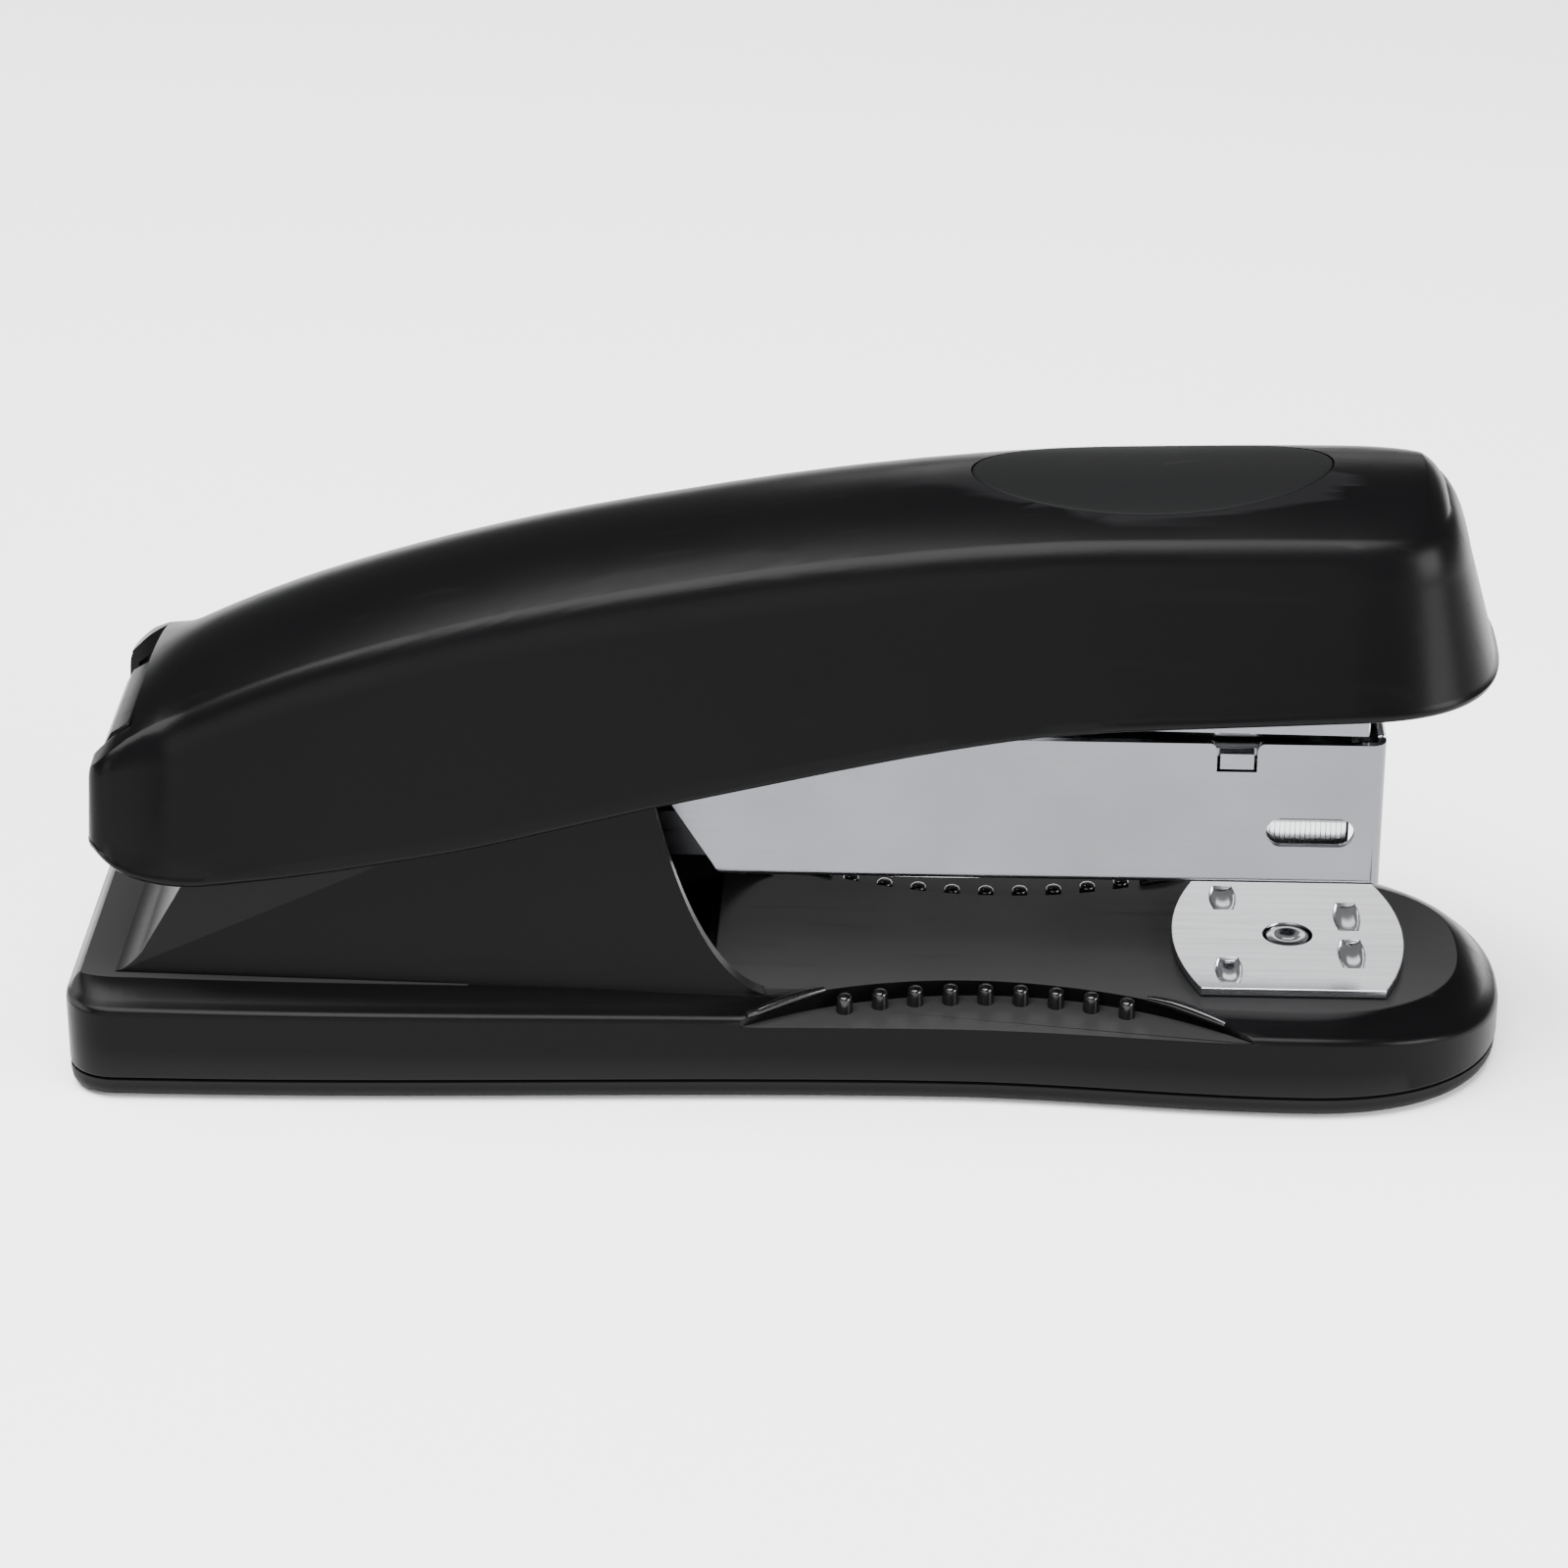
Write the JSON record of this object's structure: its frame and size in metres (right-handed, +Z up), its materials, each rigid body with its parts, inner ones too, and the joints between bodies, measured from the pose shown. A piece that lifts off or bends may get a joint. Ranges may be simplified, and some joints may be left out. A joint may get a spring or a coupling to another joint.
{
  "type": "desk stapler",
  "caption": "Desktop stapler with a satin black plastic handle and base, a chromed steel magazine and a turnable anvil plate.",
  "frame": {"origin": "middle of the base's footprint, on the plane it stands on", "axes": "+X towards the stapling end, +Y to its left, +Z up"},
  "size_m": [0.1426, 0.0374, 0.0624],
  "materials": {
    "satin_black": "satin moulded black plastic",
    "soft_grey": "soft dark grey, fine grain",
    "sole_rubber": "matt black",
    "pusher_plastic": "smooth black",
    "chrome": "bright nickel or chrome plate on bent sheet",
    "spring_steel": "bare spring steel",
    "staple_wire": "galvanised wire, glued side by side",
    "black_steel": "blackened sheet",
    "zinc_steel": "dull zinc plate",
    "zinc_sheet": "bright zinc plate on bent sheet"
  },
  "bodies": {
    "base": {"base_shell": "satin_black", "base_sole": "sole_rubber", "base_frame": "zinc_steel", "frame_screw_rear": "zinc_steel", "frame_screw_front": "zinc_steel", "hinge_pin": "zinc_steel", "lift_spring": "spring_steel", "anvil_spring": "spring_steel"},
    "anvil_carrier": {"anvil_stem": "chrome", "anvil_button": "satin_black"},
    "anvil": {"anvil_plate": "chrome"},
    "magazine": {"magazine_channel": "zinc_sheet", "staple_rail": "black_steel", "staple_strip": "staple_wire", "driver_guide": "zinc_sheet", "rod_block": "zinc_steel", "guide_rod": "chrome", "pusher_spring": "spring_steel"},
    "staple_pusher": {"pusher": "pusher_plastic"},
    "press_link": {"return_spring": "chrome"},
    "handle": {"driver_arm": "zinc_sheet", "driver_blade": "spring_steel", "blade_rivet_left": "zinc_steel", "blade_rivet_right": "zinc_steel", "handle_cover": "satin_black", "thumb_pad": "soft_grey", "rear_cap": "satin_black", "handle_screw_rear": "zinc_steel", "handle_screw_front": "zinc_steel"}
  },
  "joints": [
    {"name": "magazine_press", "type": "hinge", "parent": "base", "child": "magazine", "pos_m": [-0.053, 0, 0.027], "axis": [0, 1, 0], "range_deg": [0, 4.7], "stiffness_Nm_per_rad": 1, "springref_deg": -11.46, "deforming": ["lift_spring"]},
    {"name": "handle_press", "type": "hinge", "parent": "magazine", "child": "press_link", "pos_m": [-0.053, 0, 0.027], "axis": [0, 1, 0], "range_deg": [0, 3.4], "stiffness_Nm_per_rad": 6, "springref_deg": -2.86, "deforming": ["return_spring"]},
    {"name": "handle_open", "type": "hinge", "parent": "press_link", "child": "handle", "pos_m": [-0.053, 0, 0.027], "axis": [0, 1, 0], "range_deg": [-45, 0]},
    {"name": "pusher_slide", "type": "slide", "parent": "magazine", "child": "staple_pusher", "axis": [1, 0, 0], "range_m": [-0.022, 0], "stiffness_N_per_m": 40, "springref_m": 0.03, "deforming": ["pusher_spring"]},
    {"name": "anvil_lift", "type": "slide", "parent": "base", "child": "anvil_carrier", "axis": [0, 0, -1], "range_m": [-0.0018, 0], "stiffness_N_per_m": 300, "springref_m": 0.002, "deforming": ["anvil_spring"]},
    {"name": "anvil_turn", "type": "hinge", "parent": "anvil_carrier", "child": "anvil", "pos_m": [0.05, 0, 0.0103], "axis": [0, 0, 1], "range_deg": [0, 180]}
  ]
}
